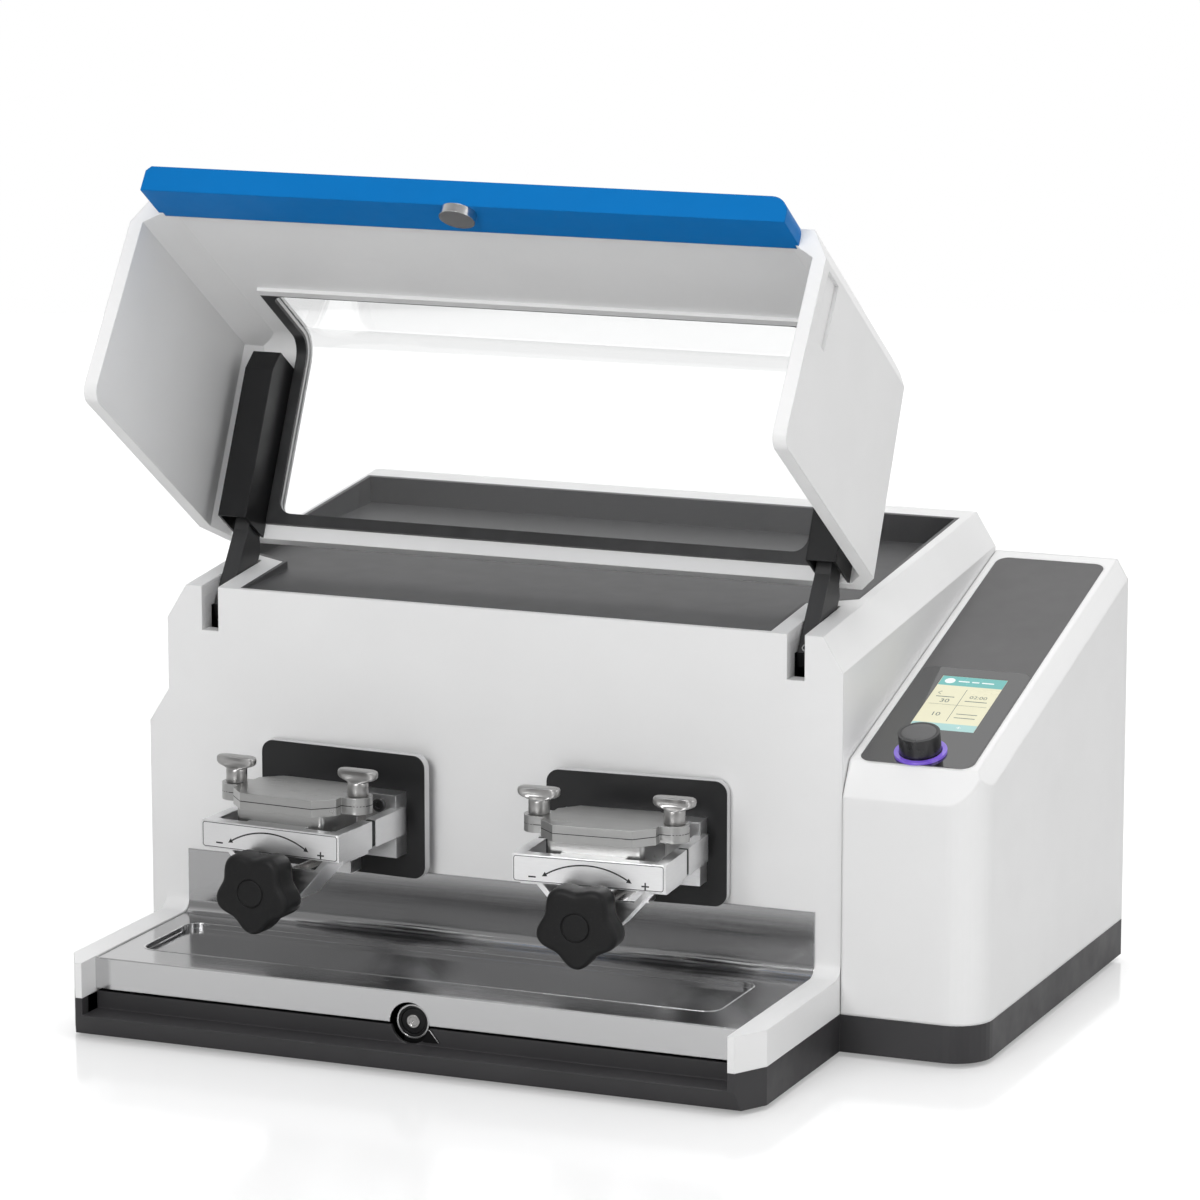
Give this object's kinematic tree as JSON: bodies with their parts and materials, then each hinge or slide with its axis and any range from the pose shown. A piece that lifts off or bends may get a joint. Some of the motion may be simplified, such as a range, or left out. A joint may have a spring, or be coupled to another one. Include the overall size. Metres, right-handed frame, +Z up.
{
  "type": "mixer mill",
  "caption": "Bench mixer mill with jar stations that swing side to side over a drip tray, a hinged windowed lid, a top shelf and a control tower.",
  "frame": {"origin": "middle of the footprint on the bench", "axes": "+X to the right seen from the front, +Y to the rear, +Z up; the lid stands open and the stations stand at the outer end of their swing"},
  "size_m": [0.702, 0.551, 0.666],
  "materials": {
    "white_shell": "satin",
    "dark_base": "fine grain",
    "grey_shelf": "fine grain",
    "grey_panel": "satin",
    "black_plastic": "satin",
    "black_glass": "gloss",
    "screen": "lit",
    "light_ring": "lit",
    "blue_handle": "satin",
    "clear_window": "polished",
    "rubber": "matt",
    "stainless": "brushed",
    "turned_steel": "turned",
    "machined_aluminium": "machined",
    "black_metal": "matt",
    "grey_iron": "cast",
    "zinc_sheet": "zinc plated",
    "motor_paint": "painted",
    "board_green": "varnished"
  },
  "bodies": {
    "housing": {"base_pan": "dark_base", "rubber_feet": "rubber", "main_housing": "white_shell", "tower_housing": "white_shell", "rear_panel": "zinc_sheet", "drip_tray": "stainless", "top_shelf": "grey_shelf", "control_panel": "grey_panel", "control_glass": "black_glass", "display_screen": "screen", "dial_light_ring": "light_ring", "dial_encoder": "black_plastic", "chassis_plate": "zinc_sheet", "shaft_bridge": "zinc_sheet", "pivot_shafts": "turned_steel", "rocker_bearings": "turned_steel", "hinge_pins": "turned_steel", "drive_motor": "motor_paint", "control_board": "board_green", "power_supply": "zinc_sheet", "power_inlet": "black_plastic", "fan_frame": "black_plastic", "latch_housing": "turned_steel"},
    "lid": {"lid_shell": "white_shell", "lid_window": "clear_window", "window_seal": "rubber", "lid_handle": "blue_handle", "handle_striker": "turned_steel", "hinge_arms": "black_metal", "arm_covers": "black_plastic"},
    "dial_stem": {"dial_shaft": "turned_steel"},
    "dial": {"dial_knob": "black_plastic"},
    "latch": {"latch_plunger": "turned_steel"},
    "power_switch": {"mains_switch": "black_plastic"},
    "fan": {"fan_rotor": "black_plastic"},
    "drive_pinion": {"motor_pinion": "turned_steel"},
    "left_station": {"left_rocker": "grey_iron", "left_swing_plate": "black_metal", "left_rear_frame": "machined_aluminium", "left_rear_jaw": "turned_steel"},
    "left_jaw": {"left_front_frame": "machined_aluminium", "left_cradle": "stainless"},
    "left_clamp_screw": {"left_spindle": "turned_steel", "left_star_knob": "black_plastic"},
    "left_jar": {"left_jar_body": "turned_steel"},
    "left_jar_cover": {"left_jar_lid": "turned_steel"},
    "left_outer_screw": {"left_outer_wing_screw": "turned_steel"},
    "left_inner_screw": {"left_inner_wing_screw": "turned_steel"},
    "right_station": {"right_rocker": "grey_iron", "right_swing_plate": "black_metal", "right_rear_frame": "machined_aluminium", "right_rear_jaw": "turned_steel"},
    "right_jaw": {"right_front_frame": "machined_aluminium", "right_cradle": "stainless"},
    "right_clamp_screw": {"right_spindle": "turned_steel", "right_star_knob": "black_plastic"},
    "right_jar": {"right_jar_body": "turned_steel"},
    "right_jar_cover": {"right_jar_lid": "turned_steel"},
    "right_outer_screw": {"right_outer_wing_screw": "turned_steel"},
    "right_inner_screw": {"right_inner_wing_screw": "turned_steel"}
  },
  "joints": [
    {"name": "lid_hinge", "type": "hinge", "parent": "housing", "child": "lid", "pos_m": [0, -0.0435, 0.3135], "axis": [1, 0, 0], "range_deg": [0, 124.4]},
    {"name": "left_swing", "type": "hinge", "parent": "housing", "child": "left_station", "pos_m": [-0.1679, -0.0105, 0.155], "axis": [0, 0, 1], "range_deg": [0, 8]},
    {"name": "left_jaw_slide", "type": "slide", "parent": "left_station", "child": "left_jaw", "axis": [-0.0698, -0.9976, 0], "range_m": [0, 0.0045]},
    {"name": "left_knob_turn", "type": "hinge", "parent": "left_jaw", "child": "left_clamp_screw", "pos_m": [-0.1815, -0.20503, 0.124], "axis": [-0.0698, -0.9976, 0], "range_deg": [0, 541]},
    {"name": "left_jar_lift", "type": "slide", "parent": "left_station", "child": "left_jar", "axis": [0, 0, 1], "range_m": [0, 0.048]},
    {"name": "left_jar_lid_lift", "type": "slide", "parent": "left_jar", "child": "left_jar_cover", "axis": [0, 0, 1], "range_m": [0, 0.034]},
    {"name": "left_outer_screw_turn", "type": "hinge", "parent": "left_jar_cover", "child": "left_outer_screw", "pos_m": [-0.23338, -0.17283, 0.195], "axis": [0, 0, 1], "range_deg": [0, 360]},
    {"name": "left_inner_screw_turn", "type": "hinge", "parent": "left_jar_cover", "child": "left_inner_screw", "pos_m": [-0.12565, -0.18036, 0.195], "axis": [0, 0, 1], "range_deg": [0, 360]},
    {"name": "right_swing", "type": "hinge", "parent": "housing", "child": "right_station", "pos_m": [0.0683, -0.0105, 0.155], "axis": [0, 0, 1], "range_deg": [-8, 0]},
    {"name": "right_jaw_slide", "type": "slide", "parent": "right_station", "child": "right_jaw", "axis": [0.0698, -0.9976, 0], "range_m": [0, 0.0045]},
    {"name": "right_knob_turn", "type": "hinge", "parent": "right_jaw", "child": "right_clamp_screw", "pos_m": [0.0819, -0.20503, 0.124], "axis": [0.0698, -0.9976, 0], "range_deg": [0, 541]},
    {"name": "right_jar_lift", "type": "slide", "parent": "right_station", "child": "right_jar", "axis": [0, 0, 1], "range_m": [0, 0.048]},
    {"name": "right_jar_lid_lift", "type": "slide", "parent": "right_jar", "child": "right_jar_cover", "axis": [0, 0, 1], "range_m": [0, 0.034]},
    {"name": "right_outer_screw_turn", "type": "hinge", "parent": "right_jar_cover", "child": "right_outer_screw", "pos_m": [0.13378, -0.17283, 0.195], "axis": [0, 0, 1], "range_deg": [0, 360]},
    {"name": "right_inner_screw_turn", "type": "hinge", "parent": "right_jar_cover", "child": "right_inner_screw", "pos_m": [0.02605, -0.18036, 0.195], "axis": [0, 0, 1], "range_deg": [0, 360]},
    {"name": "dial_press", "type": "slide", "parent": "housing", "child": "dial_stem", "axis": [0, 0.2823, -0.9593], "range_m": [0, 0.0012], "stiffness_N_per_m": 600, "springref_m": -0.001},
    {"name": "dial_turn", "type": "hinge", "parent": "dial_stem", "child": "dial", "pos_m": [0.2892, -0.05851, 0.23599], "axis": [0, -0.2823, 0.9593], "continuous": true},
    {"name": "latch_press", "type": "slide", "parent": "housing", "child": "latch", "axis": [0, 1, 0], "range_m": [0, 0.003], "stiffness_N_per_m": 300, "springref_m": -0.002},
    {"name": "mains_switch_tilt", "type": "hinge", "parent": "housing", "child": "power_switch", "pos_m": [0.121, 0.2655, 0.106], "axis": [1, 0, 0], "range_deg": [0, 12]},
    {"name": "fan_spin", "type": "hinge", "parent": "housing", "child": "fan", "pos_m": [-0.219, 0.2565, 0.21], "axis": [0, 1, 0], "continuous": true},
    {"name": "pinion_turn", "type": "hinge", "parent": "housing", "child": "drive_pinion", "pos_m": [-0.16496, 0.13747, 0.186], "axis": [0, 0, 1], "range_deg": [-31.7, 0]}
  ],
  "couplings": [
    {"joint": "right_swing", "follows": "left_swing", "ratio": -1},
    {"joint": "pinion_turn", "follows": "left_swing", "ratio": -3.95},
    {"joint": "left_knob_turn", "follows": "left_jaw_slide", "rad_per_m": 2094.4},
    {"joint": "right_knob_turn", "follows": "right_jaw_slide", "rad_per_m": 2094.4}
  ]
}
